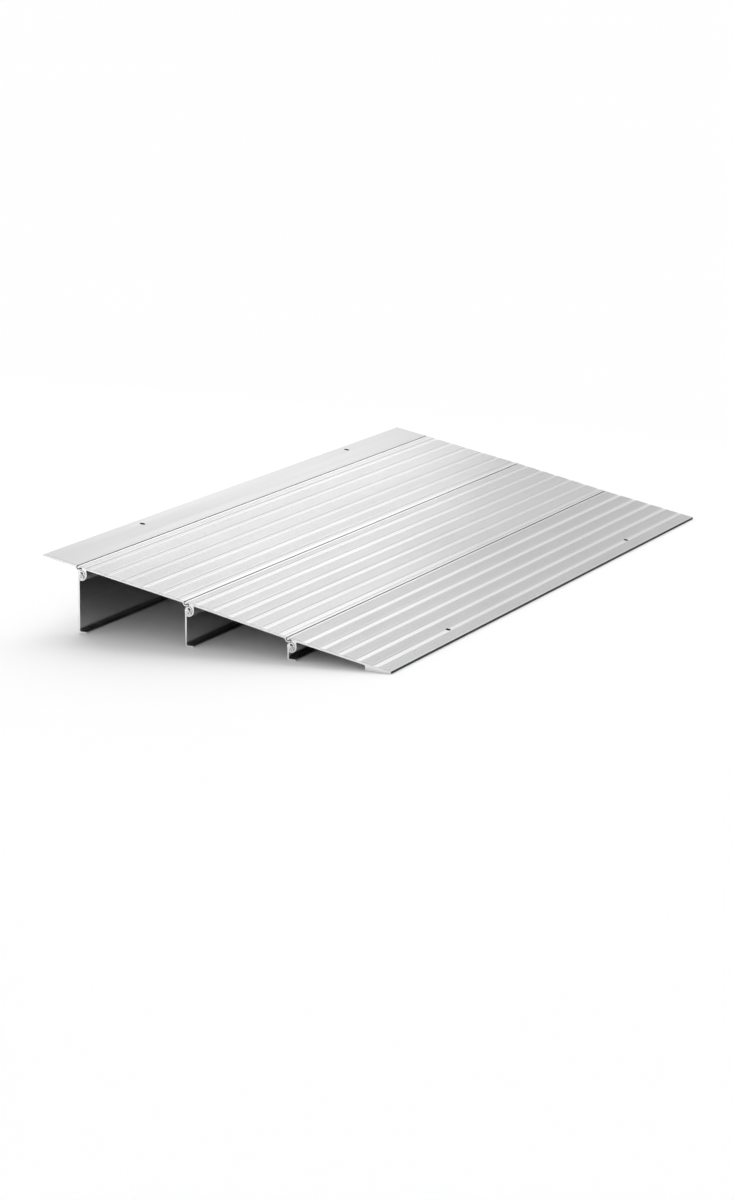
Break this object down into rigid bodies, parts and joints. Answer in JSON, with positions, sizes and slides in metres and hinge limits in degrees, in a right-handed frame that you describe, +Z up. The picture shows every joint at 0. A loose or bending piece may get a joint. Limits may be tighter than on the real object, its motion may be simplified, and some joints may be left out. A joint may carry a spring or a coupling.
{
  "type": "modular threshold ramp",
  "caption": "Low self-standing aluminium entry ramp: a sill flange, hinged ribbed deck panels with a wedge toe, and L-shaped legs that swing in sockets under the panels.",
  "frame": {"origin": "middle of the ramp's footprint, on the floor", "axes": "+X downhill away from the door, +Y across the doorway along the hinge lines, +Z up"},
  "size_m": [0.4144, 0.8662, 0.0815],
  "materials": {
    "flange_aluminium": "satin clear-anodised, smooth",
    "deck_aluminium": "satin clear-anodised, ribbed top",
    "leg_aluminium": "satin as extruded",
    "screw_steel": "bright zinc-plated"
  },
  "bodies": {
    "upper_panel": {"upper_panel": "deck_aluminium"},
    "threshold_flange": {"threshold_flange": "flange_aluminium"},
    "middle_panel": {"middle_panel": "deck_aluminium"},
    "toe_panel": {"toe_panel": "deck_aluminium"},
    "tall_leg": {"tall_leg": "leg_aluminium", "tall_leg_left_screw": "screw_steel", "tall_leg_right_screw": "screw_steel"},
    "middle_leg": {"middle_leg": "leg_aluminium", "middle_leg_left_screw": "screw_steel", "middle_leg_right_screw": "screw_steel"},
    "short_leg": {"short_leg": "leg_aluminium", "short_leg_left_screw": "screw_steel", "short_leg_right_screw": "screw_steel"}
  },
  "joints": [
    {"name": "flange_tilt", "type": "hinge", "parent": "upper_panel", "child": "threshold_flange", "pos_m": [-0.16315, 0, 0.072], "axis": [0, 1, 0], "range_deg": [-12, 10]},
    {"name": "middle_panel_tilt", "type": "hinge", "parent": "upper_panel", "child": "middle_panel", "pos_m": [-0.03245, 0, 0.0475], "axis": [0, 1, 0], "range_deg": [-10, 12]},
    {"name": "toe_panel_tilt", "type": "hinge", "parent": "middle_panel", "child": "toe_panel", "pos_m": [0.08865, 0, 0.023], "axis": [0, 1, 0], "range_deg": [-10, 12]},
    {"name": "tall_leg_swing", "type": "hinge", "parent": "upper_panel", "child": "tall_leg", "pos_m": [-0.15986, 0, 0.06406], "axis": [0, 1, 0], "range_deg": [0, 80]},
    {"name": "middle_leg_swing", "type": "hinge", "parent": "middle_panel", "child": "middle_leg", "pos_m": [-0.02928, 0, 0.03951], "axis": [0, 1, 0], "range_deg": [0, 80]},
    {"name": "short_leg_swing", "type": "hinge", "parent": "toe_panel", "child": "short_leg", "pos_m": [0.09194, 0, 0.01506], "axis": [0, 1, 0], "range_deg": [0, 80]}
  ]
}
